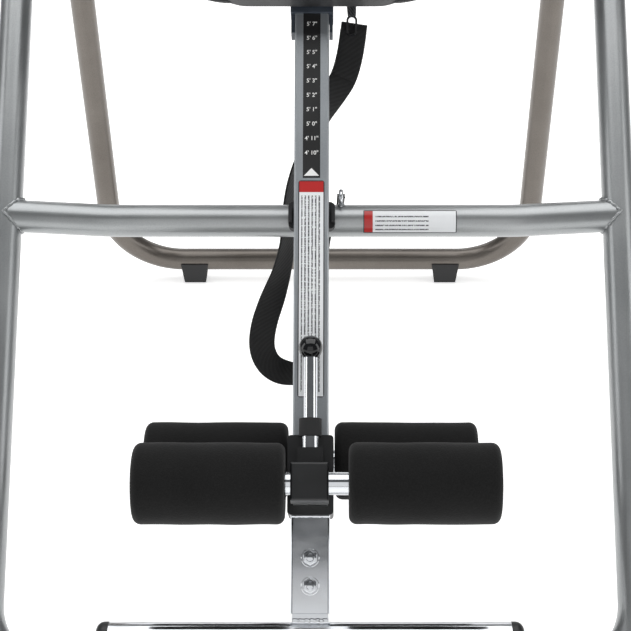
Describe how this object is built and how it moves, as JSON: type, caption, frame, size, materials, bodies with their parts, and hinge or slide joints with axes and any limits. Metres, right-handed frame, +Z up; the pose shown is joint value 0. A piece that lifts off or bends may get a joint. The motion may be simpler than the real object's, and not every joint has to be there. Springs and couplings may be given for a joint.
{
  "type": "inversion table",
  "caption": "Folding inversion table: hinged A-frame stand, pivoting padded bed, sliding boom with ankle rollers and foot rest.",
  "frame": {"origin": "on the floor under the middle of the whole machine", "axes": "+Z up, foot end towards -Y, +X to the right when facing +Y"},
  "size_m": [0.7858, 1.18, 1.5627],
  "materials": {
    "frame_paint": "silver paint, satin",
    "rear_paint": "silver paint, satin",
    "chrome": "chrome plate",
    "zinc": "zinc plated steel",
    "black_rubber": "matt rubber",
    "black_plastic": "moulded, matt",
    "gloss_plastic": "moulded, glossy",
    "collar_plastic": "moulded, satin",
    "foam": "soft foam skin",
    "board": "black stained plywood",
    "upholstery": "black vinyl cover",
    "webbing": "woven polyester",
    "nylon": "natural nylon"
  },
  "bodies": {
    "front_frame": {"front_leg_left": "frame_paint", "front_leg_right": "frame_paint", "front_base_tube": "frame_paint", "crossbar": "frame_paint", "front_feet": "black_rubber", "top_brackets": "frame_paint", "bracket_bolts": "zinc", "pivot_bushes": "nylon", "handlebars": "frame_paint", "handle_grips": "foam", "handle_end_caps": "black_plastic", "brace_studs_front": "zinc", "crossbar_bumper": "black_rubber", "strap_hook": "chrome", "tether_strap": "webbing"},
    "rear_frame": {"rear_leg_left": "rear_paint", "rear_leg_right": "rear_paint", "rear_base_tube": "rear_paint", "rear_feet": "black_rubber", "rear_hinge_bushes": "zinc", "rear_leg_plugs": "black_plastic", "brace_studs_rear": "zinc"},
    "brace_front": {"brace_front_links": "zinc"},
    "brace_rear": {"brace_rear_links": "zinc"},
    "bed": {"bed_main_tube": "frame_paint", "main_tube_plug": "black_plastic", "boom_collar": "collar_plastic", "pivot_cross_tube": "frame_paint", "bed_cross_tubes": "frame_paint", "pivot_arms": "frame_paint", "pivot_pins": "zinc", "pivot_washers": "nylon", "backrest_board": "board", "backrest_pad": "upholstery", "head_cushion": "upholstery", "bed_screws": "zinc", "anchor_cords": "webbing", "strap_carabiner": "chrome"},
    "height_pin": {"height_pin": "zinc", "height_pin_knob": "gloss_plastic"},
    "boom": {"boom_tube": "frame_paint", "boom_glide": "black_plastic", "ankle_housing": "black_plastic", "rear_roller_shaft": "chrome", "lock_pin_barrel": "frame_paint", "foot_post": "chrome", "foot_bar": "chrome", "foot_bar_caps": "black_rubber", "foot_bolts": "chrome"},
    "ankle_clamp": {"clamp_bar": "chrome", "clamp_head": "black_plastic", "clamp_bar_plug": "black_plastic", "front_roller_shaft": "chrome"},
    "lock_pin": {"lock_pin": "zinc", "lock_pin_sleeve": "black_rubber", "lock_ball": "gloss_plastic"},
    "front_roller_left": {"front_roller_left": "foam"},
    "front_roller_right": {"front_roller_right": "foam"},
    "rear_roller_left": {"rear_roller_left": "foam"},
    "rear_roller_right": {"rear_roller_right": "foam"}
  },
  "joints": [
    {"name": "rear_frame_fold", "type": "hinge", "parent": "front_frame", "child": "rear_frame", "pos_m": [0, 0.27976, 0.878], "axis": [1, 0, 0], "range_deg": [-50, 0]},
    {"name": "brace_front_fold", "type": "hinge", "parent": "front_frame", "child": "brace_front", "pos_m": [0, -0.00077, 0.715], "axis": [1, 0, 0], "range_deg": [-44.16, 0]},
    {"name": "brace_rear_fold", "type": "hinge", "parent": "rear_frame", "child": "brace_rear", "pos_m": [0, 0.33589, 0.715], "axis": [1, 0, 0], "range_deg": [0, 103.25]},
    {"name": "bed_pivot", "type": "hinge", "parent": "front_frame", "child": "bed", "pos_m": [0, 0.11243, 0.85133], "axis": [-1, 0, 0], "range_deg": [0, 142]},
    {"name": "boom_slide", "type": "slide", "parent": "bed", "child": "boom", "axis": [0, 0.6157, 0.788], "range_m": [-0.02, 0.17]},
    {"name": "height_pin_pull", "type": "slide", "parent": "bed", "child": "height_pin", "axis": [0, 0.788, -0.6157], "range_m": [0, 0.01], "stiffness_N_per_m": 600, "springref_m": -0.004},
    {"name": "ankle_clamp_slide", "type": "slide", "parent": "boom", "child": "ankle_clamp", "axis": [0, -0.788, 0.6157], "range_m": [0, 0.06]},
    {"name": "lock_pin_pull", "type": "slide", "parent": "boom", "child": "lock_pin", "axis": [0, 0.6157, 0.788], "range_m": [0, 0.012], "stiffness_N_per_m": 500, "springref_m": -0.006},
    {"name": "front_left_roller_spin", "type": "hinge", "parent": "ankle_clamp", "child": "front_roller_left", "pos_m": [-0.1, -0.52113, 0.26131], "axis": [1, 0, 0], "continuous": true},
    {"name": "front_right_roller_spin", "type": "hinge", "parent": "ankle_clamp", "child": "front_roller_right", "pos_m": [0.1, -0.52113, 0.26131], "axis": [1, 0, 0], "continuous": true},
    {"name": "rear_left_roller_spin", "type": "hinge", "parent": "boom", "child": "rear_roller_left", "pos_m": [-0.1, -0.40571, 0.22062], "axis": [1, 0, 0], "continuous": true},
    {"name": "rear_right_roller_spin", "type": "hinge", "parent": "boom", "child": "rear_roller_right", "pos_m": [0.1, -0.40571, 0.22062], "axis": [1, 0, 0], "continuous": true}
  ],
  "couplings": [
    {"joint": "brace_front_fold", "follows": "rear_frame_fold", "ratio": 0.88303},
    {"joint": "brace_rear_fold", "follows": "rear_frame_fold", "ratio": -2.0647}
  ]
}
